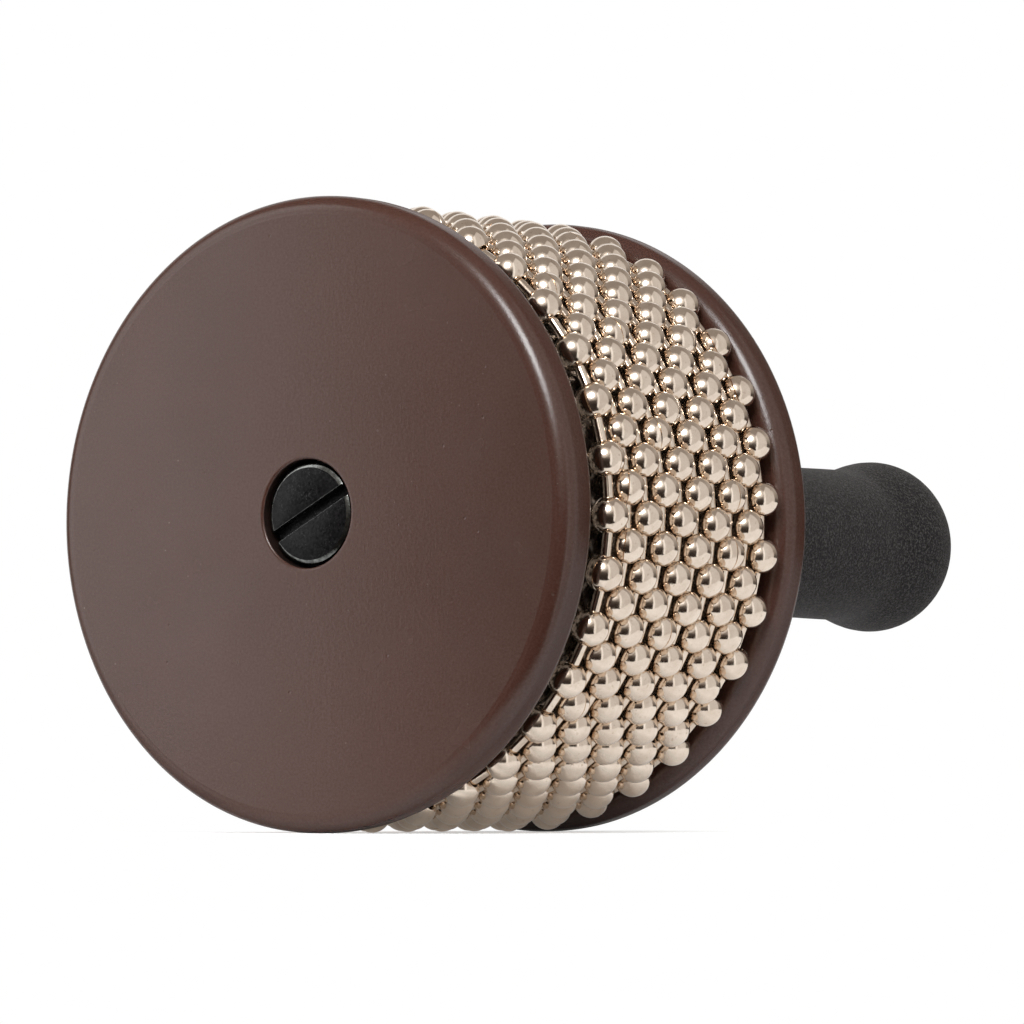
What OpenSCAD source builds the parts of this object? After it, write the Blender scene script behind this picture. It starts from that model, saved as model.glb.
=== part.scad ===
// Cabasa: steel ball-chain loops round a ridged drum, held between two discs on a foam-gripped handle.
// It lies on the rims of its discs: the axis runs along +Y from the front face to the grip, and +Z is up.
// Pieces are drawn upright, front face at height zero and the axis up, and lie() then lays them down.

/* [Discs] */
// Diameter of both wooden discs
disc_d = 90; // [60:1:140]
// Thickness of the front disc, which takes the head of the screw
front_disc_t = 7.1; // [6.6:0.1:20]
// Thickness of the rear disc
rear_disc_t = 6.4; // [6.4:0.1:20]
// Rounding of the discs' edges
disc_edge_r = 2.5; // [0.5:0.1:2.8]

/* [Ball chain] */
// Diameter of one ball
ball_d = 5.4; // [3:0.1:5.6]
// Spacing of the balls along a loop, before the loop is cut to whole balls
ball_pitch = 8; // [7:0.05:12]
// Diameter of the link pin between two balls
link_d = 1.5; // [0.5:0.05:1.8]
// Free space between the drum and a loop
loop_slack = 0.35; // [0.3:0.05:0.6]
// Depth of the balls' tops below the rims of the discs
rim_margin = 0.05; // [0.05:0.05:3]
// Spacing of neighbouring loops along the axis
loop_spacing = 4.25; // [4:0.05:4.5]
// Play left between the last loop and the rear disc
loop_rear_play = 0.2; // [0.05:0.05:2]
// Play left between the front disc and the first loop
loop_front_play = 4.15; // [0.3:0.05:8]
// Turn of the first loop from the top of the drum, in degrees
loop_phase = 3.7; // [0:0.1:10]

/* [Sleeve] */
// Thickness of the steel sleeve round the drum
sleeve_t = 0.6; // [0.4:0.1:1.5]
// Width of the open seam of the sleeve
seam_w = 0.6; // [0.3:0.1:2]
// Turn of the seam from the top of the drum, in degrees
seam_turn = 205; // [0:1:359]
// Length of one seam nail
nail_len = 8; // [4:0.5:15]
// Diameter of a nail's shank
nail_d = 1.2; // [0.8:0.1:2]
// Diameter of a nail's head
nail_head_d = 2.6; // [2:0.1:3.5]
// Distance of each row of nails from the middle of the seam
nail_row_offset = 3; // [2.5:0.1:6]

/* [Screw] */
// Diameter of the screw's shank
screw_d = 8; // [5:0.5:9]
// Diameter of the screw's head
head_d = 14.2; // [12:0.1:18]
// Thickness of the screw's head
head_t = 2.9; // [2:0.1:4]
// Chamfer on the rim of the head
head_chamfer = 0.5; // [0.2:0.05:0.8]
// Depth of the head below the front face
head_recess = 0.6; // [0.2:0.1:1]
// Width of the slot
slot_w = 1.8; // [0.8:0.1:2.4]
// Depth of the slot
slot_depth = 1.5; // [0.8:0.1:1.8]
// Turn of the slot from level, in degrees
slot_turn = 28; // [0:1:180]
// Thickness of the washer under the head
washer_t = 0.8; // [0.5:0.1:1]
// Diameter of the counterbore in the front disc
counterbore_d = 15.4; // [15:0.1:20]

/* [Handle] */
// Length of the foam grip behind the rear disc
grip_len = 98.5; // [80:0.5:160]
// Diameter of the grip where it leaves the disc
grip_d = 22.6; // [20:0.1:28]
// Diameter of the grip's neck before its bulb
grip_neck_d = 23.8; // [20:0.1:30]
// Largest diameter of the grip's bulb
grip_bulb_d = 27.1; // [24:0.1:34]
// Length of the grip's rounded end
grip_end_len = 11.5; // [6:0.5:16]
// Length over which the neck widens into the bulb
grip_flare_len = 10; // [6:0.5:30]
// Diameter of the wooden handle core
core_d = 16; // [15:0.1:18]
// Thickness of foam over the end of the handle core
grip_cap_t = 8; // [4:0.5:12]
// Diameter of the threaded insert in the core
insert_d = 12; // [11:0.1:13]
// Length of the threaded insert
insert_len = 24; // [15:0.5:35]
// Diameter of the steel washer between the rear disc and the core
plate_d = 20; // [17:0.1:21]
// Thickness of that washer
plate_t = 1.5; // [1:0.1:2.5]

/* [Dowels] */
// Diameter of a locating dowel
dowel_d = 5; // [3:0.5:8]
// Depth of a dowel in a disc
dowel_in_disc = 4; // [2:0.5:5]
// Depth of a dowel in the drum core
dowel_in_core = 11; // [5:0.5:16]
// Distance of the dowels from the axis
dowel_ring_r = 24; // [16:0.5:28]

/* [Hidden] */

// Number of chain loops
loop_count = 10;
// Number of dowels in each disc
dowel_count = 3;
// Number of nails in one row
nail_count = 5;
// Length by which a cut passes through a face
overrun = 0.5;
// Free space round a piece that sits in a hole
fit = 0.1;
// Free space of the threaded insert round the screw
thread_fit = 0.05;

// The drum fits inside the loops, and the loops inside the rims
drum_d = disc_d - 2 * (rim_margin + ball_d + loop_slack);
drum_len = loop_front_play + ball_d + (loop_count - 1) * loop_spacing + loop_rear_play;

// Places along the axis, from the front face
front_inner = front_disc_t;
rear_inner = front_inner + drum_len;
rear_outer = rear_inner + rear_disc_t;
total_len = rear_outer + grip_len;
head_under = head_recess + head_t;
washer_under = head_under + washer_t;
plate_front = rear_outer - plate_t;

// The chain loops
loop_r = drum_d / 2 + loop_slack + ball_d / 2;
ball_count = floor(2 * PI * loop_r / ball_pitch);
ball_step = 360 / ball_count;
last_loop = rear_inner - loop_rear_play - ball_d / 2;

// The screw, from its head to its end in the insert
screw_len = rear_outer + insert_len - head_under;
screw_tip_share = 0.125;
screw_tip_chamfer = screw_d * screw_tip_share;

// The handle
core_len = grip_len - grip_cap_t;
flare_start_share = 0.45;
neck_steps = 10;
flare_steps = 8;
end_steps = 16;

// The nails stand along the seam, clear of the sleeve's ends
nail_end_share = 0.083;
nail_end_gap = drum_len * nail_end_share;
nail_spacing = (drum_len - 2 * nail_end_gap) / (nail_count - 1);
nail_head_t = sleeve_t;

// Lay a piece down from the upright position, on the rims of the discs
module lie() {
    translate([0, -total_len / 2, disc_d / 2]) rotate([-90, 0, 0]) children();
}

// A disc with rounded edges
module rounded_disc(d, t, r) {
    rotate_extrude($fn = 180) {
        square([d / 2 - r, t]);
        translate([0, r]) square([d / 2, t - 2 * r]);
        for (z = [r, t - r]) translate([d / 2 - r, z]) circle(r = r, $fn = 48);
    }
}

// Places of the dowels round the axis
module at_dowels() {
    for (i = [0 : dowel_count - 1])
        rotate([0, 0, i * 360 / dowel_count]) translate([0, dowel_ring_r, 0]) children();
}

// Places of the nails: each child points inwards from the sleeve's outer face
module at_nails() {
    row_turn = 2 * asin(nail_row_offset / drum_d);
    for (side = [-1, 1], i = [0 : nail_count - 1])
        translate([0, 0, front_inner + nail_end_gap + i * nail_spacing])
            rotate([0, 0, seam_turn + side * row_turn])
                translate([0, -drum_d / 2, 0]) rotate([-90, 0, 0]) children();
}

// Front disc: counterbored for the head of the screw, with blind holes for the dowels behind
module front_disc() {
    color([0.36, 0.27, 0.25]) lie() difference() {
        rounded_disc(disc_d, front_disc_t, disc_edge_r);
        translate([0, 0, -overrun]) cylinder(d = counterbore_d, h = washer_under + overrun, $fn = 96);
        cylinder(d = screw_d + 2 * fit, h = front_disc_t + overrun, $fn = 64);
        translate([0, 0, front_disc_t - dowel_in_disc]) at_dowels()
            cylinder(d = dowel_d + 2 * fit, h = dowel_in_disc + overrun, $fn = 48);
    }
}

// Rear disc: recessed for the handle washer, with blind holes for the dowels in front
module rear_disc() {
    color([0.36, 0.27, 0.25]) lie() difference() {
        translate([0, 0, rear_inner]) rounded_disc(disc_d, rear_disc_t, disc_edge_r);
        translate([0, 0, rear_inner - overrun])
            cylinder(d = screw_d + 2 * fit, h = rear_disc_t + 2 * overrun, $fn = 64);
        translate([0, 0, plate_front]) cylinder(d = plate_d + 2 * fit, h = plate_t + overrun, $fn = 96);
        translate([0, 0, rear_inner - overrun]) at_dowels()
            cylinder(d = dowel_d + 2 * fit, h = dowel_in_disc + overrun, $fn = 48);
    }
}

// Drum core: the wooden cylinder that the discs close
module drum_core() {
    color([0.72, 0.58, 0.40]) lie() difference() {
        translate([0, 0, front_inner]) cylinder(d = drum_d - 2 * sleeve_t, h = drum_len, $fn = 180);
        translate([0, 0, front_inner - overrun])
            cylinder(d = screw_d + 2 * fit, h = drum_len + 2 * overrun, $fn = 64);
        for (z = [front_inner - overrun, rear_inner - dowel_in_core])
            translate([0, 0, z]) at_dowels()
                cylinder(d = dowel_d + 2 * fit, h = dowel_in_core + overrun, $fn = 48);
        at_nails() cylinder(d = nail_d + 2 * fit, h = nail_len + fit, $fn = 24);
    }
}

// Sleeve: one ridged steel sheet bent round the core, open at its seam
module rasp_sleeve() {
    color([0.16, 0.15, 0.15]) lie() difference() {
        translate([0, 0, front_inner]) cylinder(d = drum_d, h = drum_len, $fn = 180);
        translate([0, 0, front_inner - overrun])
            cylinder(d = drum_d - 2 * sleeve_t, h = drum_len + 2 * overrun, $fn = 180);
        translate([0, 0, front_inner - overrun]) rotate([0, 0, seam_turn])
            translate([-seam_w / 2, -drum_d / 2 - overrun, 0])
                cube([seam_w, sleeve_t + 2 * overrun, drum_len + 2 * overrun]);
        at_nails() translate([0, 0, -overrun])
            cylinder(d = nail_head_d + 2 * fit, h = nail_head_t + 2 * overrun, $fn = 32);
    }
}

// Nails that hold the sheet to the core on both sides of the seam
module seam_nails() {
    color("silver") lie() at_nails() {
        cylinder(d = nail_d, h = nail_len, $fn = 24);
        cylinder(d = nail_head_d, h = nail_head_t, $fn = 32);
    }
}

// One loop of ball chain: balls joined by straight link pins
module chain_loop(i) {
    chord = 2 * loop_r * sin(ball_step / 2);
    color([0.80, 0.74, 0.68]) lie()
        translate([0, 0, last_loop - (loop_count - 1 - i) * loop_spacing])
            rotate([0, 0, loop_phase + (i % 2) * ball_step / 2])
                for (k = [0 : ball_count - 1]) rotate([0, 0, k * ball_step]) translate([0, -loop_r, 0]) {
                    sphere(d = ball_d, $fn = 48);
                    rotate([0, 90, ball_step / 2]) cylinder(d = link_d, h = chord, $fn = 24);
                }
}

// Screw: slotted head in the front disc, shank through the drum and into the handle
module through_screw() {
    color([0.13, 0.13, 0.14]) lie() {
        difference() {
            translate([0, 0, head_recess]) {
                cylinder(d1 = head_d - 2 * head_chamfer, d2 = head_d, h = head_chamfer, $fn = 96);
                translate([0, 0, head_chamfer]) cylinder(d = head_d, h = head_t - head_chamfer, $fn = 96);
            }
            translate([0, 0, head_recess]) rotate([0, 0, -slot_turn])
                translate([-head_d, -slot_w / 2, -overrun])
                    cube([2 * head_d, slot_w, slot_depth + overrun]);
        }
        translate([0, 0, head_under])
            cylinder(d = screw_d, h = screw_len - screw_tip_chamfer, $fn = 64);
        translate([0, 0, head_under + screw_len - screw_tip_chamfer])
            cylinder(d1 = screw_d, d2 = screw_d - 2 * screw_tip_chamfer, h = screw_tip_chamfer, $fn = 64);
    }
}

// Washer under the screw's head, at the bottom of the counterbore
module screw_washer() {
    color([0.25, 0.25, 0.26]) lie() translate([0, 0, head_under]) difference() {
        cylinder(d = counterbore_d - 2 * fit, h = washer_t, $fn = 96);
        translate([0, 0, -overrun]) cylinder(d = screw_d + 2 * fit, h = washer_t + 2 * overrun, $fn = 64);
    }
}

// Washer that spreads the handle's load on the rear disc
module handle_washer() {
    color("silver") lie() translate([0, 0, plate_front]) difference() {
        cylinder(d = plate_d, h = plate_t, $fn = 96);
        translate([0, 0, -overrun]) cylinder(d = screw_d + 2 * fit, h = plate_t + 2 * overrun, $fn = 64);
    }
}

// Handle core: a wooden rod, bored at its front end for the insert and the screw
module handle_core() {
    color([0.80, 0.67, 0.48]) lie() translate([0, 0, rear_outer]) difference() {
        cylinder(d = core_d, h = core_len, $fn = 96);
        translate([0, 0, -overrun])
            cylinder(d = insert_d + 2 * fit, h = insert_len + fit + overrun, $fn = 64);
    }
}

// Threaded insert: a metal sleeve in the core that takes the screw
module threaded_insert() {
    color([0.72, 0.60, 0.30]) lie() translate([0, 0, rear_outer]) difference() {
        cylinder(d = insert_d, h = insert_len, $fn = 64);
        translate([0, 0, -overrun])
            cylinder(d = screw_d + 2 * thread_fit, h = insert_len + 2 * overrun, $fn = 64);
    }
}

// Soft step from 0 to 1
function smooth(x) = x * x * (3 - 2 * x);

// Radius of the grip at a distance from the rear disc, up to where its rounded end starts
function grip_body_r(z) =
    let (body = grip_len - grip_end_len, neck = body - grip_flare_len)
    z < neck ? grip_d / 2 + (grip_neck_d - grip_d) / 2 * smooth(max(0, (z / neck - flare_start_share)
                                                                  / (1 - flare_start_share)))
             : grip_neck_d / 2 + (grip_bulb_d - grip_neck_d) / 2 * smooth((z - neck) / grip_flare_len);

// Foam grip: straight behind the disc, a slight neck, then a bulb with a rounded end
module foam_grip() {
    body = grip_len - grip_end_len;
    neck = body - grip_flare_len;
    places = concat([for (i = [0 : neck_steps]) neck * i / neck_steps],
                    [for (i = [1 : flare_steps]) neck + grip_flare_len * i / flare_steps]);
    profile = concat(
        [[0, 0]],
        [for (z = places) [grip_body_r(z), z]],
        [for (i = [1 : end_steps - 1]) let (a = 90 * i / end_steps)
            [grip_bulb_d / 2 * cos(a), body + grip_end_len * sin(a)]],
        [[0, grip_len]]);
    color([0.15, 0.15, 0.15]) lie() translate([0, 0, rear_outer]) difference() {
        rotate_extrude($fn = 96) polygon(profile);
        translate([0, 0, -overrun]) cylinder(d = core_d + 2 * fit, h = core_len + fit + overrun, $fn = 96);
    }
}

// Dowels that key a disc to the drum core
module dowels(start) {
    color([0.85, 0.74, 0.55]) lie() translate([0, 0, start]) at_dowels()
        cylinder(d = dowel_d, h = dowel_in_disc + dowel_in_core - 2 * fit, $fn = 48);
}

module front_dowels() {
    dowels(front_inner - dowel_in_disc + fit);
}

module rear_dowels() {
    dowels(rear_inner - dowel_in_core + fit);
}

front_disc();
rear_disc();
drum_core();
rasp_sleeve();
seam_nails();
chain_loop(0);  // chain_loop_01
chain_loop(1);  // chain_loop_02
chain_loop(2);  // chain_loop_03
chain_loop(3);  // chain_loop_04
chain_loop(4);  // chain_loop_05
chain_loop(5);  // chain_loop_06
chain_loop(6);  // chain_loop_07
chain_loop(7);  // chain_loop_08
chain_loop(8);  // chain_loop_09
chain_loop(9);  // chain_loop_10
through_screw();
screw_washer();
handle_core();
threaded_insert();
handle_washer();
foam_grip();
front_dowels();
rear_dowels();
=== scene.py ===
import math
import random

import bmesh
import bpy
from mathutils import Matrix, Vector


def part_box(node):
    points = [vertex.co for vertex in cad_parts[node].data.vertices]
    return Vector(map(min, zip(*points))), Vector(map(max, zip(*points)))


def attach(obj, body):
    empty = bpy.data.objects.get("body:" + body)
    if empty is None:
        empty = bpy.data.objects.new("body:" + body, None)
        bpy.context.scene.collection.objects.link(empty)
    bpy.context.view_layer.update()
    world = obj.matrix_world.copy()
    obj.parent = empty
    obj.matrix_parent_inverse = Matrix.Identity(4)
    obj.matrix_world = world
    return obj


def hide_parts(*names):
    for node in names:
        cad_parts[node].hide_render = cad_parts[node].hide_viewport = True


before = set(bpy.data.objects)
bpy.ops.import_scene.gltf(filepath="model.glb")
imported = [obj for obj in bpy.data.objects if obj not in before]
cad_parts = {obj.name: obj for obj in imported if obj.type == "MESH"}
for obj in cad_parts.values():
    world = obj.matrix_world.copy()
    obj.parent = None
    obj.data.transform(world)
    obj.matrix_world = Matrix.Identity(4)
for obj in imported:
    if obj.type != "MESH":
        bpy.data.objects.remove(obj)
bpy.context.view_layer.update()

MM = 0.001

# Angles are in radians, but CREASE_TURN, the studio's and those given to arc() are in degrees

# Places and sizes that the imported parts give
front_low, front_high = (Vector(c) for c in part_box("front_disc"))
rear_low, rear_high = (Vector(c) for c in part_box("rear_disc"))
DISC_R = front_high.x
AXIS_Z = DISC_R
FRONT_Y = front_low.y
FRONT_INNER_Y = front_high.y
REAR_INNER_Y = rear_low.y
REAR_Y = rear_high.y
GRIP_END_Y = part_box("foam_grip")[1][1]
SCREW_END_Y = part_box("through_screw")[1][1]
DRUM_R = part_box("rasp_sleeve")[1][0]
LOOPS = sorted(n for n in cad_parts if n.startswith("chain_loop"))

# Discs: a ring of points FLAT_HOLD from each rounding keeps the smooth shading of a flat face flat
DISC_EDGE_R = 2.5 * MM
CREASE = 0.10 * MM
CREASE_DEPTH = 0.03 * MM
CREASE_TURN = 6
FLAT_HOLD = 0.15 * MM
FACE_RING_SHARES = (0.3, 0.5, 0.7, 0.85)
BACK_RING_SHARE = 0.5
BORE_R = 4.1 * MM
COUNTERBORE_R = 7.7 * MM
COUNTERBORE_DEPTH = 4.3 * MM
COUNTERBORE_EDGE = 0.35 * MM
PLATE_RECESS_R = 10.1 * MM
PLATE_RECESS_DEPTH = 1.5 * MM
DISC_SEGMENTS, EDGE_STEPS, LIP_STEPS = 256, 10, 4

# Ball chain
BALL_R = 2.7 * MM
RIM_MARGIN = 0.05 * MM
LOOP_R = DISC_R - RIM_MARGIN - BALL_R
BALL_COUNT = 33
BALL_STEP = 2 * math.pi / BALL_COUNT
LOOP_PHASE = math.radians(3.8)
LOOP_DRIFT = math.radians(0.08)
LINK_R = 0.75 * MM
HOLE_R = LINK_R + 0.06 * MM
HOLE_CURL = 0.2 * MM
SEAM_HALF_TURN = 0.035
SEAM_SHARE = 0.90
CHAIN_SHARP_ANGLE = math.radians(50)
BALL_SEGMENTS, BALL_STEPS, CURL_STEPS, PIN_SEGMENTS = 36, 18, 5, 12

# How far the balls stray: round the drum, along the axis, inwards and outwards, and in their lean;
# most turn their seam towards the drum, within a spread, and a share of them turn it anywhere
SEED = 7
TURN_SPREAD = 0.0022
SIDE_SPREAD = 0.05 * MM
STRAY_IN, STRAY_OUT = 0.08 * MM, 0.04 * MM
LEAN_SPREAD = 0.05
FREE_SEAM_SHARE = 0.3
HIDDEN_SEAM_SPREAD = 1.2

# Screw
HEAD_R = 7.1 * MM
HEAD_RECESS = 0.6 * MM
HEAD_T = 2.9 * MM
CHAMFER_W = 0.55 * MM
CHAMFER_DEPTH = 0.3 * MM
SLOT_W = 1.8 * MM
SLOT_DEPTH = 1.5 * MM
SLOT_TURN = math.radians(28)
SCREW_R = 4.0 * MM
SCREW_TIP = 1.0 * MM
BROKEN_EDGE = 0.12 * MM
BROKEN_EDGE_ANGLE = math.radians(40)
SCREW_SEGMENTS = 128

# Sleeve: the sheet's mesh, and its rows and columns of pressed diamonds
SHEET_AROUND, SHEET_ALONG = 720, 140
RIDGE_ROWS, RIDGE_COLUMNS = 30, 156
RIDGE_DEPTH = 0.28 * MM

# Grip
GRIP_START_R, GRIP_NECK_R, GRIP_BULB_R = 11.3 * MM, 11.9 * MM, 13.55 * MM
GRIP_ROUND_END = 11.5 * MM
GRIP_FLARE = 10.0 * MM
GRIP_FLARE_START_SHARE = 0.45
GRIP_LIP, GRIP_LIP_LEN = 0.6 * MM, 0.8 * MM
GRIP_BORE_R = 8.05 * MM
GRIP_CAP = 8.1 * MM
GRIP_SEGMENTS, GRIP_STEPS, GRIP_END_STEPS = 128, 60, 24

# Tones
WHITE = (1, 1, 1, 1)
PAINT_DEEP, PAINT_PALE = (0.0475, 0.0178, 0.0116, 1), (0.0550, 0.0206, 0.0137, 1)
PAINT_GRAIN = (0.20, 0.14, 0.12, 1)
NICKEL_DEEP, NICKEL_PALE = (0.71, 0.59, 0.483, 1), (0.81, 0.695, 0.583, 1)
NICKEL_TARNISH = (0.42, 0.30, 0.21, 1)
SHEET_DEEP, SHEET_PALE = (0.11, 0.095, 0.085, 1), (0.28, 0.25, 0.225, 1)
OXIDE_DEEP, OXIDE_PALE = (0.0022, 0.0020, 0.0025, 1), (0.012, 0.0113, 0.0122, 1)
OXIDE_DUST = (0.07, 0.07, 0.068, 1)
WORN_DEEP, WORN_PALE = (0.10, 0.104, 0.10, 1), (0.24, 0.248, 0.24, 1)
# The bore tones are painted shade: a much darker brown for the counterbore's wall
BORE_SHADE_DEEP, BORE_SHADE_PALE = (0.008, 0.0045, 0.0036, 1), (0.016, 0.0085, 0.0065, 1)
FOAM_DEEP, FOAM_PALE = (0.0006, 0.0005, 0.0006, 1), (0.075, 0.069, 0.070, 1)
FOAM_SHEEN = (1, 0.95, 0.95, 1)
WOOD_DEEP, WOOD_PALE = (0.46, 0.31, 0.17, 1), (0.62, 0.45, 0.27, 1)
ZINC_DEEP, ZINC_PALE = (0.45, 0.45, 0.46, 1), (0.62, 0.62, 0.63, 1)
BRASS_DEEP, BRASS_PALE = (0.60, 0.43, 0.16, 1), (0.72, 0.54, 0.24, 1)


def mesh_object(name, bm, smooth_angle=35):
    """Turns a bmesh into an object whose faces are smooth up to an angle."""
    bmesh.ops.recalc_face_normals(bm, faces=bm.faces)
    limit = math.radians(smooth_angle)
    for f in bm.faces:
        f.smooth = True
    for e in bm.edges:
        e.smooth = len(e.link_faces) != 2 or e.calc_face_angle(0) < limit
    mesh = bpy.data.meshes.new(name)
    bm.to_mesh(mesh)
    bm.free()
    obj = bpy.data.objects.new(name, mesh)
    bpy.context.collection.objects.link(obj)
    return obj


def on_axis(y, r, turn):
    """The point at a distance r from the axis, turned from the top towards +X."""
    return Vector((r * math.sin(turn), y, AXIS_Z + r * math.cos(turn)))


def arc(y, r, radius, start, stop, steps):
    """Points of a profile's round corner: angles run from the axis's +Y towards outwards."""
    out = []
    for i in range(steps + 1):
        a = math.radians(start + (stop - start) * i / steps)
        out.append((y + radius * math.cos(a), r + radius * math.sin(a)))
    return out


def lathe(name, profile, segments, closed=True):
    """A solid of revolution round the instrument's axis from points (y, radius)."""
    bm = bmesh.new()
    rings = []
    for y, r in profile:
        count = segments if r > 0 else 1
        rings.append([bm.verts.new(on_axis(y, r, 2 * math.pi * k / count)) for k in range(count)])
    pairs = list(zip(rings, rings[1:]))
    if closed:
        pairs.append((rings[-1], rings[0]))
    for a, b in pairs:
        for k in range(segments):
            n = (k + 1) % segments
            quad = [a[k % len(a)], a[n % len(a)], b[n % len(b)], b[k % len(b)]]
            corners = list(dict.fromkeys(quad))
            if len(corners) > 2:
                bm.faces.new(corners)
    return mesh_object(name, bm)


class Wiring:
    """A short way to write a node tree."""

    def __init__(self, tree):
        self.tree = tree

    def node(self, kind, **values):
        n = self.tree.nodes.new(kind)
        for key, value in values.items():
            setattr(n, key, value)
        return n

    def link(self, a, b):
        self.tree.links.new(a, b)

    def fill(self, socket, value):
        """Sets a socket to a plain value, or links it to another node's output."""
        if isinstance(value, (int, float, tuple)):
            socket.default_value = value
        else:
            self.link(value, socket)

    def math(self, kind, a, b):
        n = self.node("ShaderNodeMath", operation=kind)
        self.fill(n.inputs[0], a)
        self.fill(n.inputs[1], b)
        return n.outputs[0]

    def ramp(self, value, stops):
        n = self.node("ShaderNodeValToRGB")
        elements = n.color_ramp.elements
        while len(elements) < len(stops):
            elements.new(0.5)
        for element, (place, tone) in zip(elements, stops):
            element.position = place
            element.color = tone if isinstance(tone, tuple) else (tone, tone, tone, 1)
        self.link(value, n.inputs["Fac"])
        return n.outputs["Color"]

    def spread(self, value, start, stop, low=0.0, high=1.0):
        """Goes from low to high while a value goes from start to stop."""
        n = self.node("ShaderNodeMapRange")
        limits = (("From Min", start), ("From Max", stop), ("To Min", low), ("To Max", high))
        for name, limit in limits:
            n.inputs[name].default_value = limit
        self.link(value, n.inputs["Value"])
        return n.outputs["Result"]

    def emission(self, colour, strength):
        n = self.node("ShaderNodeEmission")
        self.fill(n.inputs["Color"], colour)
        self.fill(n.inputs["Strength"], strength)
        return n.outputs[0]

    def mix_shader(self, factor, a, b):
        n = self.node("ShaderNodeMixShader")
        for socket, value in zip(n.inputs, (factor, a, b)):
            self.link(value, socket)
        return n.outputs[0]

    def seen_ray(self):
        """One for the rays that show the background: from the camera, off metal or through glass."""
        path = self.node("ShaderNodeLightPath").outputs
        reflected = self.math("MAXIMUM", path["Is Camera Ray"], path["Is Glossy Ray"])
        return self.math("MAXIMUM", reflected, path["Is Transmission Ray"])


class Shader(Wiring):
    """A piece's material, written round its Principled node."""

    def __init__(self, name):
        self.material = bpy.data.materials.new(name)
        self.material.use_nodes = True
        super().__init__(self.material.node_tree)
        self.bsdf = self.tree.nodes["Principled BSDF"]
        self.coords = self.node("ShaderNodeTexCoord").outputs["Object"]

    def put(self, **values):
        """Sets or links inputs of the Principled node, named with _ for each space."""
        for key, value in values.items():
            self.fill(self.bsdf.inputs[key.replace("_", " ")], value)

    def noise(self, scale, detail, roughness=0.55, coords=None):
        n = self.node("ShaderNodeTexNoise")
        n.inputs["Scale"].default_value = scale
        n.inputs["Detail"].default_value = detail
        n.inputs["Roughness"].default_value = roughness
        self.link(coords or self.coords, n.inputs["Vector"])
        return n.outputs["Fac"]

    def patches(self, low, high, scale, detail, span):
        """A noise that goes from one tone or number to another over a span of its own values."""
        return self.ramp(self.noise(scale, detail), [(span[0], low), (span[1], high)])

    def spots(self, scale, size, soft):
        """Small round specks: one where a cell's centre is near."""
        n = self.node("ShaderNodeTexVoronoi")
        n.inputs["Scale"].default_value = scale
        self.link(self.coords, n.inputs["Vector"])
        return self.ramp(n.outputs["Distance"], [(size, 1.0), (size + soft, 0.0)])

    def mix(self, factor, a, b):
        n = self.node("ShaderNodeMix", data_type="RGBA")
        for name, value in (("Factor", factor), ("A", a), ("B", b)):
            self.fill(n.inputs[name], value)
        return n.outputs["Result"]

    def bump(self, height, distance, strength=1.0, below=None):
        n = self.node("ShaderNodeBump")
        n.inputs["Distance"].default_value = distance
        n.inputs["Strength"].default_value = strength
        self.link(height, n.inputs["Height"])
        if below is not None:
            self.link(below, n.inputs["Normal"])
        self.link(n.outputs["Normal"], self.bsdf.inputs["Normal"])
        return n.outputs["Normal"]


def brown_paint():
    """Satin brown paint on turned wood: orange peel, faint mottling, dust specks and pin holes."""
    s = Shader("brown_paint")
    base = s.patches(PAINT_DEEP, PAINT_PALE, scale=38, detail=4, span=(0.3, 0.7))
    grain = s.patches(0.0, 0.10, scale=2600, detail=3, span=(0.35, 0.75))
    dusty = s.patches(0.0, 0.5, scale=60, detail=2, span=(0.5, 0.62))
    dust = s.math("MULTIPLY", s.spots(scale=420, size=0.035, soft=0.035), dusty)
    satin = s.patches(0.22, 0.28, scale=90, detail=3, span=(0.3, 0.7))
    facing = s.node("ShaderNodeLayerWeight").outputs["Facing"]
    s.put(Base_Color=s.mix(s.math("MAXIMUM", grain, dust), base, PAINT_GRAIN),
          Roughness=s.math("MAXIMUM", satin, s.ramp(facing, [(0.68, 0.0), (0.95, 0.5)])),
          Specular_IOR_Level=s.ramp(facing, [(0.28, 0.48), (0.52, 0.08)]))
    peel = s.bump(s.noise(scale=1500, detail=2), 0.02 * MM)
    fine = s.bump(s.noise(scale=4200, detail=2), 0.015 * MM, below=peel)
    pits = s.math("SUBTRACT", 0.0, s.spots(scale=190, size=0.02, soft=0.025))
    s.bump(pits, 0.05 * MM, below=fine)
    return s.material


def nickel():
    """Warm nickel plate: fine pressing marks, a little haze and brownish tarnish in places."""
    s = Shader("nickel_plate")
    tone = s.patches(NICKEL_DEEP, NICKEL_PALE, scale=420, detail=3, span=(0.35, 0.65))
    stain = s.patches(0.0, 0.5, scale=1500, detail=4, span=(0.62, 0.75))
    s.put(Base_Color=s.mix(stain, tone, NICKEL_TARNISH),
          Roughness=s.patches(0.10, 0.20, scale=2600, detail=4, span=(0.35, 0.75)),
          Metallic=1.0)
    s.bump(s.noise(scale=700, detail=3), 0.03 * MM, strength=0.6)
    return s.material


def dull_sheet():
    """The sleeve's pressed steel, a little dulled in patches."""
    s = Shader("sleeve_steel")
    s.put(Base_Color=s.patches(SHEET_DEEP, SHEET_PALE, scale=900, detail=4, span=(0.35, 0.75)),
          Roughness=s.patches(0.20, 0.34, scale=1300, detail=3, span=(0.3, 0.7)),
          Metallic=1.0)
    s.bump(s.noise(scale=2200, detail=3), 0.03 * MM)
    return s.material


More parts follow.
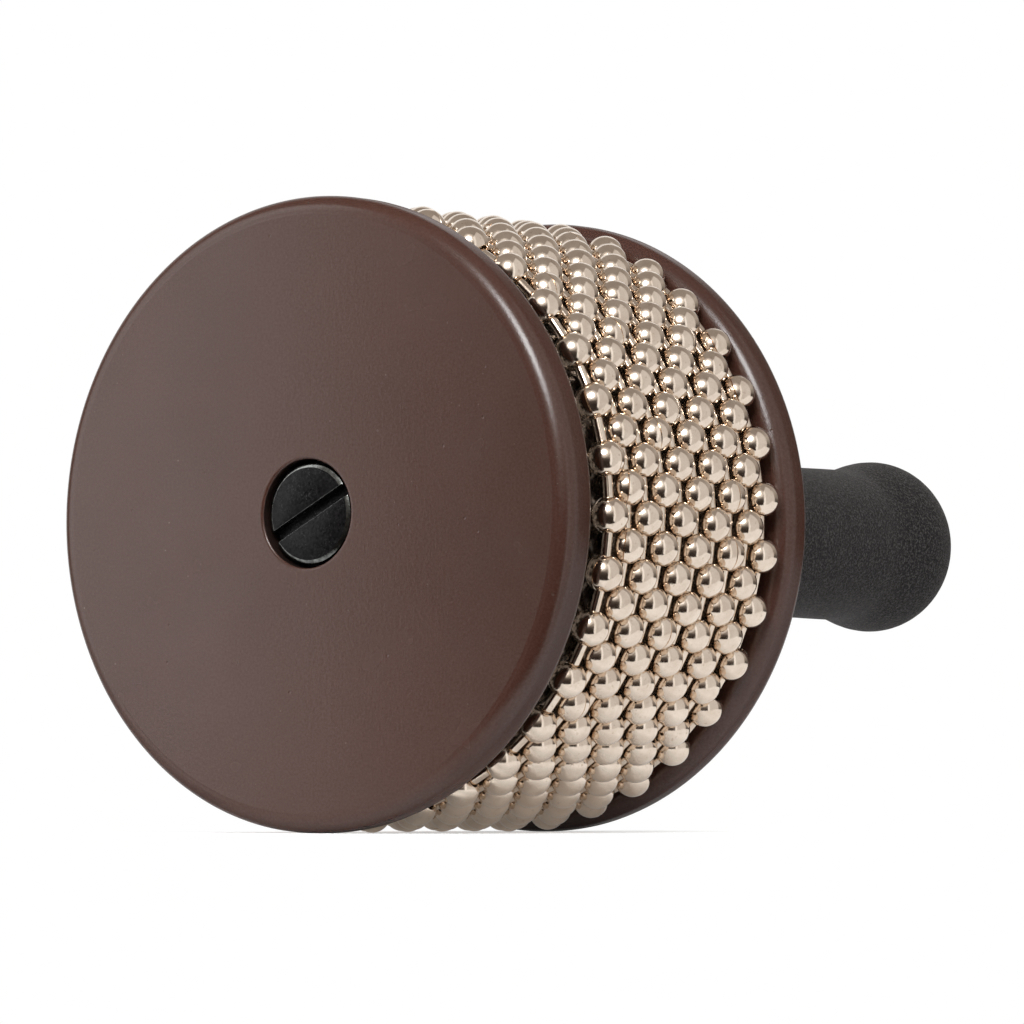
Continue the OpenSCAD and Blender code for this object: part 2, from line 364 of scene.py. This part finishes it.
def black_oxide():
    """Oiled black steel of the screw, with a little dust."""
    s = Shader("black_oxide")
    base = s.patches(OXIDE_DEEP, OXIDE_PALE, scale=2400, detail=4, span=(0.35, 0.7))
    dusty = s.patches(0.0, 0.45, scale=520, detail=3, span=(0.42, 0.66))
    dust = s.math("MULTIPLY", s.spots(scale=3000, size=0.20, soft=0.15), dusty)
    s.put(Base_Color=s.mix(dust, base, OXIDE_DUST),
          Roughness=s.patches(0.22, 0.34, scale=700, detail=4, span=(0.3, 0.7)),
          Specular_IOR_Level=0.09)
    s.bump(s.noise(scale=2600, detail=3), 0.06 * MM)
    return s.material


def worn_oxide():
    """The screw's edges, where the black has rubbed down to the steel."""
    s = Shader("worn_oxide")
    s.put(Base_Color=s.patches(WORN_DEEP, WORN_PALE, scale=1400, detail=4, span=(0.35, 0.65)),
          Roughness=s.patches(0.12, 0.22, scale=900, detail=3, span=(0.3, 0.7)),
          Metallic=1.0)
    s.bump(s.noise(scale=2600, detail=3), 0.02 * MM)
    return s.material


def bore_painted_shade():
    """The counterbore's wall in a much darker brown than the paint: painted shade for the recess, which
    lies in shadow.
    """
    s = Shader("bore_painted_shade")
    s.put(Base_Color=s.patches(BORE_SHADE_DEEP, BORE_SHADE_PALE, scale=600, detail=4, span=(0.35, 0.7)),
          Roughness=0.5, Specular_IOR_Level=0.2)
    s.bump(s.noise(scale=1500, detail=3), 0.08 * MM)
    return s.material


def foam():
    """Closed-cell foam: a fine matte grain with tiny pores."""
    s = Shader("foam")
    grain = s.noise(scale=2900, detail=3, roughness=0.75)
    s.put(Base_Color=s.ramp(grain, [(0.47, FOAM_DEEP), (0.66, FOAM_PALE)]),
          Roughness=0.85, Specular_IOR_Level=0.30,
          Sheen_Weight=0.10, Sheen_Roughness=0.4, Sheen_Tint=FOAM_SHEEN)
    first = s.bump(grain, 0.2 * MM)
    second = s.bump(s.noise(scale=260, detail=3), 0.3 * MM, strength=0.5, below=first)
    s.bump(s.spots(scale=900, size=0.1, soft=0.15), 0.1 * MM, strength=0.6, below=second)
    return s.material


def pale_wood():
    """Bare turned wood with grain along the instrument's axis."""
    s = Shader("pale_wood")
    stretch = s.node("ShaderNodeMapping")
    stretch.inputs["Scale"].default_value = (260, 14, 260)
    s.link(s.coords, stretch.inputs["Vector"])
    grain = s.noise(scale=1.0, detail=5, roughness=0.6, coords=stretch.outputs["Vector"])
    s.put(Base_Color=s.ramp(grain, [(0.3, WOOD_DEEP), (0.7, WOOD_PALE)]), Roughness=0.6)
    s.bump(grain, 0.08 * MM)
    return s.material


def plain_metal(name, deep, pale, roughness):
    """Zinc, brass and the like for the hidden fittings."""
    s = Shader(name)
    s.put(Base_Color=s.patches(deep, pale, scale=300, detail=4, span=(0.3, 0.7)),
          Roughness=s.patches(roughness, roughness + 0.15, scale=800, detail=3, span=(0.3, 0.7)),
          Metallic=1.0)
    s.bump(s.noise(scale=1500, detail=2), 0.02 * MM)
    return s.material


def dress(obj, material, slot, body, *nodes):
    """Gives a piece its material, the body it rides on and the nodes it stands for; the slot is not
    used.
    """
    obj.data.materials.clear()
    obj.data.materials.append(material)
    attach(obj, body)
    if nodes:
        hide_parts(*nodes)


def mark(obj, material, chosen):
    """Gives the faces that a test picks, by their middle and normal, a second material."""
    obj.data.materials.append(material)
    for f in obj.data.polygons:
        if chosen(f.center, f.normal):
            f.material_index = len(obj.data.materials) - 1


def on_bore_wall(at, way):
    """Picks the front disc's faces that look towards the axis."""
    return way.x * at.x + way.z * (at.z - AXIS_Z) < 0 and abs(way.y) < 0.5


def on_broken_edge(at, way):
    """Picks the slanting faces at the front of the screw's head."""
    return at.y < FRONT_Y + HEAD_RECESS + CHAMFER_DEPTH and 0.2 < abs(way.y) < 0.97


def front_disc():
    """The front disc: a flat counterbored face, then a fine crease where its rounded edge starts."""
    y0, y1, e = FRONT_Y, FRONT_INNER_Y, DISC_EDGE_R
    lip_r = COUNTERBORE_R + COUNTERBORE_EDGE
    crease_r = DISC_R - e - CREASE
    profile = [(y0 + COUNTERBORE_DEPTH, BORE_R), (y0 + COUNTERBORE_DEPTH, COUNTERBORE_R)]
    profile += arc(y0 + COUNTERBORE_EDGE, lip_r, COUNTERBORE_EDGE, 270, 180, LIP_STEPS)
    profile += [(y0, lip_r + FLAT_HOLD)]
    profile += [(y0, DISC_R * share) for share in FACE_RING_SHARES]
    profile += [(y0, crease_r - FLAT_HOLD), (y0, crease_r), (y0 + CREASE_DEPTH, DISC_R - e)]
    profile += arc(y0 + e, DISC_R - e, e, 180 - CREASE_TURN, 90, EDGE_STEPS)
    profile += arc(y1 - e, DISC_R - e, e, 90, 0, EDGE_STEPS)
    profile += [(y1, DISC_R - e - FLAT_HOLD), (y1, DISC_R * BACK_RING_SHARE), (y1, BORE_R)]
    return lathe("front_disc_shell", profile, DISC_SEGMENTS)


def rear_disc():
    """The rear disc, recessed behind for the handle's washer."""
    y0, y1, e = REAR_INNER_Y, REAR_Y, DISC_EDGE_R
    flat_r, ring_r = DISC_R - e - FLAT_HOLD, DISC_R * BACK_RING_SHARE
    floor_y = y1 - PLATE_RECESS_DEPTH
    profile = [(y0, BORE_R), (y0, ring_r), (y0, flat_r)]
    profile += arc(y0 + e, DISC_R - e, e, 180, 90, EDGE_STEPS)
    profile += arc(y1 - e, DISC_R - e, e, 90, 0, EDGE_STEPS)
    profile += [(y1, flat_r), (y1, ring_r), (y1, PLATE_RECESS_R)]
    profile += [(floor_y, PLATE_RECESS_R), (floor_y, BORE_R)]
    return lathe("rear_disc_shell", profile, DISC_SEGMENTS)


def screw():
    """The slotted screw: a turned blank with its slot cut and its edges broken."""
    y0, end = FRONT_Y + HEAD_RECESS, SCREW_END_Y
    profile = [(y0, 0), (y0, HEAD_R - CHAMFER_W), (y0 + CHAMFER_DEPTH, HEAD_R), (y0 + HEAD_T, HEAD_R),
               (y0 + HEAD_T, SCREW_R), (end - SCREW_TIP, SCREW_R), (end, SCREW_R - SCREW_TIP), (end, 0)]
    blank = lathe("screw_blank", profile, SCREW_SEGMENTS, closed=False)
    bm = bmesh.new()
    bmesh.ops.create_cube(bm, size=1.0)
    bmesh.ops.scale(bm, vec=(4 * HEAD_R, 2 * SLOT_DEPTH, SLOT_W), verts=bm.verts)
    cutter = mesh_object("slot_cutter", bm)
    cutter.data.transform(Matrix.Translation((0, y0, AXIS_Z)) @ Matrix.Rotation(-SLOT_TURN, 4, "Y"))
    cut = blank.modifiers.new("slot", "BOOLEAN")
    cut.object = cutter
    cut.operation = "DIFFERENCE"
    cut.solver = "EXACT"
    edge = blank.modifiers.new("edge", "BEVEL")
    edge.width = BROKEN_EDGE
    edge.segments = 2
    edge.limit_method = "ANGLE"
    edge.angle_limit = BROKEN_EDGE_ANGLE
    mesh = bpy.data.meshes.new_from_object(blank.evaluated_get(bpy.context.evaluated_depsgraph_get()))
    blank.modifiers.clear()
    blank.data = mesh
    bpy.data.objects.remove(cutter)
    return blank


def sleeve():
    """The sheet round the drum, pressed with rows of small diamonds, inside the CAD radius."""
    bm = bmesh.new()
    grid = []
    for j in range(SHEET_ALONG + 1):
        y = FRONT_INNER_Y + (REAR_INNER_Y - FRONT_INNER_Y) * j / SHEET_ALONG
        ring = []
        for k in range(SHEET_AROUND):
            u, v = k / SHEET_AROUND * RIDGE_COLUMNS, j / SHEET_ALONG * RIDGE_ROWS
            ridge = abs(math.sin(math.pi * (u + v) / 2)) * abs(math.sin(math.pi * (u - v) / 2))
            r = DRUM_R - RIDGE_DEPTH * (1 - ridge)
            ring.append(bm.verts.new(on_axis(y, r, 2 * math.pi * k / SHEET_AROUND)))
        grid.append(ring)
    for a, b in zip(grid, grid[1:]):
        for k in range(SHEET_AROUND):
            n = (k + 1) % SHEET_AROUND
            bm.faces.new([a[k], a[n], b[n], b[k]])
    return mesh_object("sleeve_sheet", bm, smooth_angle=60)


def ball_shape():
    """One hollow ball along local Z: a seam from pole to pole and a rolled lip at each hole."""
    free_turn = 2 * math.pi - 2 * SEAM_HALF_TURN
    turns = [-SEAM_HALF_TURN, 0.0, SEAM_HALF_TURN]
    turns += [SEAM_HALF_TURN + free_turn * i / BALL_SEGMENTS for i in range(1, BALL_SEGMENTS)]
    start = math.asin((HOLE_R + HOLE_CURL) / (BALL_R - HOLE_CURL))
    curl_r, curl_z = HOLE_R + HOLE_CURL, (BALL_R - HOLE_CURL) * math.cos(start)
    rim = []
    for i in range(CURL_STEPS + 1):
        a = start - (start + math.pi / 2) * (1 - i / CURL_STEPS)
        rim.append((curl_r + HOLE_CURL * math.sin(a), curl_z + HOLE_CURL * math.cos(a)))
    rows = list(rim)
    for i in range(1, BALL_STEPS):
        polar = start + (math.pi - 2 * start) * i / BALL_STEPS
        rows.append((BALL_R * math.sin(polar), BALL_R * math.cos(polar)))
    rows += [(r, -z) for r, z in reversed(rim)]
    verts, faces = [], []
    for r, z in rows:
        for t in turns:
            share = SEAM_SHARE if t == 0.0 else 1.0
            verts.append(Vector((share * r * math.cos(t), share * r * math.sin(t), z)))
    n = len(turns)
    for i in range(len(rows) - 1):
        for k in range(n):
            m = (k + 1) % n
            faces.append((i * n + k, (i + 1) * n + k, (i + 1) * n + m, i * n + m))
    return verts, faces


def pin_shape(length):
    """One link pin along local Z from a ball's centre to the next."""
    n = PIN_SEGMENTS
    angles = [2 * math.pi * k / n for k in range(n)]
    ring = [(LINK_R * math.cos(a), LINK_R * math.sin(a)) for a in angles]
    verts = [Vector((x, y, z)) for z in (0.0, length) for x, y in ring]
    faces = []
    for k in range(n):
        m = (k + 1) % n
        faces.append((k, m, n + m, n + k))
    faces += [tuple(range(n))[::-1], tuple(range(n, 2 * n))]
    return verts, faces


def chain_loop(node, index, rng):
    """A closed chain: each ball keeps the chain's direction and has its own roll."""
    low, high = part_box(node)
    y = (low[1] + high[1]) / 2
    first = LOOP_PHASE + index * LOOP_DRIFT + (index % 2) * BALL_STEP / 2
    ball, ball_faces = ball_shape()
    verts, faces, places = [], [], []
    for k in range(BALL_COUNT):
        turn = first + k * BALL_STEP + rng.gauss(0, TURN_SPREAD)
        places.append((y + rng.gauss(0, SIDE_SPREAD), LOOP_R + rng.uniform(-STRAY_IN, STRAY_OUT), turn))

    def add(shape, shape_faces, matrix):
        start = len(verts)
        verts.extend(matrix @ v for v in shape)
        faces.extend(tuple(start + i for i in f) for f in shape_faces)

    for k, place in enumerate(places):
        here, there = on_axis(*place), on_axis(*places[(k + 1) % BALL_COUNT])
        turn = place[2]
        outwards = Vector((math.sin(turn), 0, math.cos(turn)))
        along = Vector((math.cos(turn), 0, -math.sin(turn)))
        facing = Matrix((outwards, along.cross(outwards), along)).transposed().to_4x4()
        lean = Matrix.Rotation(rng.gauss(0, LEAN_SPREAD), 4, "X")
        lean = lean @ Matrix.Rotation(rng.gauss(0, LEAN_SPREAD), 4, "Y")
        if rng.random() < FREE_SEAM_SHARE:
            seam_turn = rng.uniform(0, 2 * math.pi)
        else:
            seam_turn = math.pi + rng.uniform(-HIDDEN_SEAM_SPREAD, HIDDEN_SEAM_SPREAD)
        roll = Matrix.Rotation(seam_turn, 4, "Z")
        add(ball, ball_faces, Matrix.Translation(here) @ facing @ lean @ roll)
        link = there - here
        pin, pin_faces = pin_shape(link.length)
        way = link.to_track_quat("Z", "Y").to_matrix().to_4x4()
        add(pin, pin_faces, Matrix.Translation(here) @ way)
    mesh = bpy.data.meshes.new(node + "_chain")
    mesh.from_pydata(verts, [], faces)
    obj = bpy.data.objects.new(node + "_chain", mesh)
    bpy.context.collection.objects.link(obj)
    mesh.shade_smooth()
    mesh.set_sharp_from_angle(angle=CHAIN_SHARP_ANGLE)
    return obj


def smooth(x):
    """Soft step from 0 to 1."""
    x = max(0.0, min(1.0, x))
    return x * x * (3 - 2 * x)


def grip():
    """The foam sleeve: a straight stretch, a slight neck and a soft bulb."""
    body = GRIP_END_Y - REAR_Y - GRIP_ROUND_END
    neck = body - GRIP_FLARE
    late = GRIP_FLARE_START_SHARE
    profile = [(REAR_Y, GRIP_BORE_R), (REAR_Y, GRIP_START_R - GRIP_LIP)]
    for i in range(GRIP_STEPS + 1):
        z = body * i / GRIP_STEPS
        if z < neck:
            r = GRIP_START_R + (GRIP_NECK_R - GRIP_START_R) * smooth((z / neck - late) / (1 - late))
        else:
            r = GRIP_NECK_R + (GRIP_BULB_R - GRIP_NECK_R) * smooth((z - neck) / GRIP_FLARE)
        r -= GRIP_LIP * max(0.0, 1 - z / GRIP_LIP_LEN) ** 2
        profile.append((REAR_Y + z, r))
    for i in range(1, GRIP_END_STEPS + 1):
        a = math.radians(90 * i / GRIP_END_STEPS)
        r = GRIP_BULB_R * math.cos(a) if i < GRIP_END_STEPS else 0.0
        profile.append((REAR_Y + body + GRIP_ROUND_END * math.sin(a), r))
    profile += [(GRIP_END_Y - GRIP_CAP, 0.0), (GRIP_END_Y - GRIP_CAP, GRIP_BORE_R)]
    return lathe("grip_foam", profile, GRIP_SEGMENTS)


# The pieces that are remodelled, each with the body it rides on
DRUM = "handle_and_drum"
CHAINS = "bead_chains"
paint = brown_paint()
plate = nickel()
sheet_steel = dull_sheet()
oxide = black_oxide()
foam_look = foam()
bare_wood = pale_wood()
zinc = plain_metal("zinc", ZINC_DEEP, ZINC_PALE, roughness=0.3)
brass = plain_metal("brass", BRASS_DEEP, BRASS_PALE, roughness=0.25)

front = front_disc()
dress(front, paint, "painted_wood", DRUM, "front_disc")
# The counterbore's wall gets the darker brown of painted shade
mark(front, bore_painted_shade(), on_bore_wall)
dress(rear_disc(), paint, "painted_wood", DRUM, "rear_disc")
dress(sleeve(), sheet_steel, "sleeve_steel", DRUM, "rasp_sleeve")
head = screw()
dress(head, oxide, "black_steel", DRUM, "through_screw")
mark(head, worn_oxide(), on_broken_edge)
rng = random.Random(SEED)
for index, node in enumerate(LOOPS):
    dress(chain_loop(node, index, rng), plate, "nickel_balls", CHAINS, node)
foam_grip = grip()
dress(foam_grip, foam_look, "foam", DRUM, "foam_grip")

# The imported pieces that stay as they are
for names, material in ((("drum_core", "handle_core", "front_dowels", "rear_dowels"), bare_wood),
                        (("seam_nails", "handle_washer"), zinc),
                        (("threaded_insert",), brass),
                        (("screw_washer",), oxide)):
    for n in names:
        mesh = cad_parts[n].data
        mesh.materials.clear()
        mesh.materials.append(material)

# The camera stands low, turned from the axis as the photograph shows it, and looks slightly up
FOCAL_PX = 6332.0
PHOTO_PX = 1024.0
SENSOR_WIDTH = 36.0
FACE_CENTRE_PX = (306.4, 513.5)
FACE_DEPTH = 891.7 * MM
CAMERA_TURN = math.radians(35.44)
CAMERA_TILT = math.radians(2.55)
NEAREST, FARTHEST = 0.01, 20.0


def make_camera():
    """Puts the camera in the scene and gives its directions to the right and ahead."""
    data = bpy.data.cameras.new("camera")
    cam = bpy.data.objects.new("camera", data)
    bpy.context.collection.objects.link(cam)
    data.sensor_fit = "HORIZONTAL"
    data.sensor_width = SENSOR_WIDTH
    data.lens = FOCAL_PX / PHOTO_PX * data.sensor_width
    level = math.cos(CAMERA_TILT)
    ahead = Vector((-math.sin(CAMERA_TURN) * level, math.cos(CAMERA_TURN) * level,
                    math.sin(CAMERA_TILT)))
    right = Vector((math.cos(CAMERA_TURN), math.sin(CAMERA_TURN), 0))
    up = right.cross(ahead)
    off = (FACE_CENTRE_PX[0] - PHOTO_PX / 2, FACE_CENTRE_PX[1] - PHOTO_PX / 2)
    ray = ahead + right * (off[0] / FOCAL_PX) - up * (off[1] / FOCAL_PX)
    cam.location = Vector((0, FRONT_Y, AXIS_Z)) - ray * FACE_DEPTH
    cam.rotation_euler = Matrix((right, up, -ahead)).transposed().to_euler()
    data.clip_start, data.clip_end = NEAREST, FARTHEST
    bpy.context.scene.camera = cam
    return right, ahead


right, ahead = make_camera()
Z = Vector((0, 0, 1))
level_ahead = Vector((ahead.x, ahead.y, 0)).normalized()
middle = Vector((0, (FRONT_Y + REAR_Y) / 2, AXIS_Z))

# The studio, in metres: its ends are seen from the camera, across to the right and along ahead
FLOOR_EDGE, STUDIO_BACK, LEFT_END, RIGHT_END = -0.070, 0.90, -0.90, 0.40
CARD_FRONT, CARD_BACK = -0.84, 0.05
CARD_MIDDLE_Z, CARD_HEIGHT = 0.20, 1.4
STRIP_MIDDLE, STRIP_WIDTH, STRIP_OFFSET = -0.68, 0.32, 0.01
BACKDROP_HEIGHT = 1.0
LEFT_CARD_PLACE, LEFT_CARD_WAY = Vector((-0.27, -0.22, 0.15)), Vector((-0.88, 0.47, 0))
LEFT_CARD_WIDTH, LEFT_CARD_HEIGHT = 0.28, 0.42
ROOM_R, ROOM_LOW, ROOM_TOP, ROOM_STEP = 2.6, -80, 90, 10

# The floor: an oval round the drum keeps the shadow, and further out it is white; in what the metal
# mirrors, a wider ring round the drum is dimmed as painted shade
TABLE_WHITE = (0.86, 0.86, 0.86, 1)
FADE_OVAL = (2.6, 1.3, 1)
FADE_START, FADE_END = 0.060, 0.085
# Painted shade: rays off metal see the floor's white dimmed to SHADE_LOW near the drum, rising to full
# white at SHADE_END
SHADE_START, SHADE_END, SHADE_LOW = 0.075, 0.125, 0.68
GLOW_REFLECTED, GLOW_SEEN = 0.14, 0.45

# Light: the cards' tones and strengths, the room's tones from the floor up, and the world between them
BACKDROP_TONE, CARD_TONE = (1, 0.99, 0.98, 1), (1, 0.98, 0.96, 1)
BACKDROP_GLOW, CARD_GLOW, STRIP_GLOW, LEFT_CARD_GLOW = 1.0, 0.75, 1.15, 2.0
ROOM_TONES = [(0.35, (0.035, 0.027, 0.023, 1)),
              (0.50, (0.09, 0.075, 0.066, 1)),
              (0.57, (0.26, 0.235, 0.215, 1)),
              (0.72, (0.48, 0.45, 0.42, 1)),
              (0.90, (0.36, 0.33, 0.305, 1))]
ROOM_PARTS = (("dark_room", -120, 80), ("dark_back", 80, 240))
WORLD_TONE = (0.20, 0.19, 0.18, 1)
KEY_TURN, KEY_RISE, KEY_DISTANCE = -10, 36, 0.47
KEY_RINGS = (("core", 0.20, 17), ("middle", 0.30, 1.6), ("halo", 0.42, 0.6), ("spill", 0.56, 0.25))


def spot(across, along, height):
    """A place in the studio: across and along are seen from the camera, height is over the floor."""
    return Vector((middle.x, middle.y, 0)) + right * across + level_ahead * along + Z * height


def bearing(turn, rise):
    """The direction from the object at a turn to the camera's right and a rise, in degrees."""
    a, e = math.radians(turn), math.radians(rise)
    return right * math.sin(a) * math.cos(e) - level_ahead * math.cos(a) * math.cos(e) + Z * math.sin(e)


def studio_material(name):
    """A studio piece's material and the wiring of its empty node tree."""
    material = bpy.data.materials.new(name)
    material.use_nodes = True
    w = Wiring(material.node_tree)
    w.tree.nodes.clear()
    return material, w


def glowing(name, colour, strength):
    """The look of a card that lights the object and shows in its metal."""
    material, w = studio_material(name)
    w.link(w.emission(colour, strength), w.node("ShaderNodeOutputMaterial").inputs["Surface"])
    return material


def floor_material():
    """A white table: it keeps the shadow close to the object and is plain white further away; rays off
    metal see a ring of painted shade round the drum.
    """
    material, w = studio_material("white_floor")
    table = w.node("ShaderNodeBsdfPrincipled")
    for name, value in (("Base Color", TABLE_WHITE), ("Roughness", 0.7), ("Specular IOR Level", 0.2)):
        table.inputs[name].default_value = value
    seen = w.node("ShaderNodeLightPath").outputs["Is Camera Ray"]
    glow = w.emission(WHITE, w.spread(seen, 0, 1, GLOW_REFLECTED, GLOW_SEEN))
    near = w.node("ShaderNodeAddShader")
    w.link(table.outputs[0], near.inputs[0])
    w.link(glow, near.inputs[1])
    oval = w.node("ShaderNodeVectorMath", operation="MULTIPLY_ADD")
    w.link(w.node("ShaderNodeTexCoord").outputs["Object"], oval.inputs[0])
    oval.inputs[1].default_value = FADE_OVAL
    oval.inputs[2].default_value = (0, -FADE_OVAL[1] * (FRONT_Y + REAR_INNER_Y) / 2, 0)
    length = w.node("ShaderNodeVectorMath", operation="LENGTH")
    w.link(oval.outputs[0], length.inputs[0])
    away = length.outputs["Value"]
    # For rays off metal, the white is dimmed near the drum: painted shade
    level = w.math("MAXIMUM", seen, w.spread(away, SHADE_START, SHADE_END, low=SHADE_LOW))
    fade = w.spread(away, FADE_START, FADE_END)
    near_far = w.mix_shader(fade, near.outputs[0], w.emission(WHITE, level))
    shown = w.mix_shader(w.seen_ray(), table.outputs[0], near_far)
    w.link(shown, w.node("ShaderNodeOutputMaterial").inputs["Surface"])
    return material


def room_material():
    """The unlit studio: dark low down, lightest some way up and dimmer again overhead."""
    material, w = studio_material("studio_room")
    way = w.node("ShaderNodeVectorMath", operation="NORMALIZE")
    w.link(w.node("ShaderNodeTexCoord").outputs["Object"], way.inputs[0])
    parts = w.node("ShaderNodeSeparateXYZ")
    w.link(way.outputs[0], parts.inputs[0])
    tone = w.ramp(w.spread(parts.outputs["Z"], -1, 1), ROOM_TONES)
    w.link(w.emission(tone, 1.0), w.node("ShaderNodeOutputMaterial").inputs["Surface"])
    return material


def stage_piece(name, bm, material, shown=False):
    """A piece of the studio; only the floor is shown to the camera."""
    obj = mesh_object(name, bm)
    obj.data.materials.append(material)
    obj.visible_camera = shown


def stage_plane(name, centre, across, along, width, height, material, shown=False):
    """A flat studio card, given by its middle and its two directions."""
    bm = bmesh.new()
    corners = []
    for a, b in ((-1, -1), (1, -1), (1, 1), (-1, 1)):
        corners.append(bm.verts.new(centre + across * (a * width / 2) + along * (b * height / 2)))
    bm.faces.new(corners)
    stage_piece(name, bm, material, shown)


def dark_room(name, first, last, material):
    """Part of a sphere round the object, between two turns: the camera doesn't see it."""
    bm = bmesh.new()
    turns = range(first, last + 1, ROOM_STEP)
    rows = [[bm.verts.new(middle + bearing(turn, rise) * ROOM_R) for turn in turns]
            for rise in range(ROOM_LOW, ROOM_TOP + 1, ROOM_STEP)]
    for a, b in zip(rows, rows[1:]):
        for k in range(len(a) - 1):
            bm.faces.new([a[k], a[k + 1], b[k + 1], b[k]])
    stage_piece(name, bm, material)


def softbox(name, turn, rise, distance, size, radiance):
    """A round lamp seen from the object at a turn and rise from the camera's direction, in degrees."""
    data = bpy.data.lights.new(name, "AREA")
    data.shape = "DISK"
    data.size = size
    data.energy = radiance * (math.pi * size / 2) ** 2
    lamp = bpy.data.objects.new(name, data)
    lamp.location = middle + bearing(turn, rise) * distance
    lamp.rotation_euler = bearing(turn, rise).to_track_quat("Z", "Y").to_euler()
    bpy.context.collection.objects.link(lamp)


centre_across, width = (LEFT_END + RIGHT_END) / 2, RIGHT_END - LEFT_END
stage_plane("floor", spot(centre_across, (STUDIO_BACK + FLOOR_EDGE) / 2, 0), right, level_ahead,
            width, STUDIO_BACK - FLOOR_EDGE, floor_material(), shown=True)
stage_plane("backdrop", spot(centre_across, STUDIO_BACK, BACKDROP_HEIGHT / 2), right, Z,
            width, BACKDROP_HEIGHT, glowing("backdrop_white", BACKDROP_TONE, BACKDROP_GLOW))
stage_plane("side_card", spot(RIGHT_END, (CARD_FRONT + CARD_BACK) / 2, CARD_MIDDLE_Z),
            level_ahead, Z, CARD_BACK - CARD_FRONT, CARD_HEIGHT,
            glowing("card_white", CARD_TONE, CARD_GLOW))
stage_plane("side_strip", spot(RIGHT_END - STRIP_OFFSET, STRIP_MIDDLE, CARD_MIDDLE_Z),
            level_ahead, Z, STRIP_WIDTH, CARD_HEIGHT,
            glowing("strip_white", WHITE, STRIP_GLOW))

world = bpy.data.worlds.new("studio")
bpy.context.scene.world = world
world.use_nodes = True
w = Wiring(world.node_tree)
w.tree.nodes.clear()
dim = w.node("ShaderNodeBackground")
dim.inputs["Color"].default_value = WORLD_TONE
shown = w.node("ShaderNodeBackground")
shown.inputs["Color"].default_value = WHITE
w.link(w.mix_shader(w.seen_ray(), dim.outputs[0], shown.outputs[0]),
       w.node("ShaderNodeOutputWorld").inputs["Surface"])

room = room_material()
for name, first, last in ROOM_PARTS:
    dark_room(name, first, last, room)
for part, size, radiance in KEY_RINGS:
    softbox("key_" + part, KEY_TURN, KEY_RISE, KEY_DISTANCE, size, radiance)
stage_plane("left_card", LEFT_CARD_PLACE, LEFT_CARD_WAY, Z, LEFT_CARD_WIDTH, LEFT_CARD_HEIGHT,
            glowing("left_card_white", WHITE, LEFT_CARD_GLOW))

bpy.context.scene.view_settings.view_transform = "Standard"
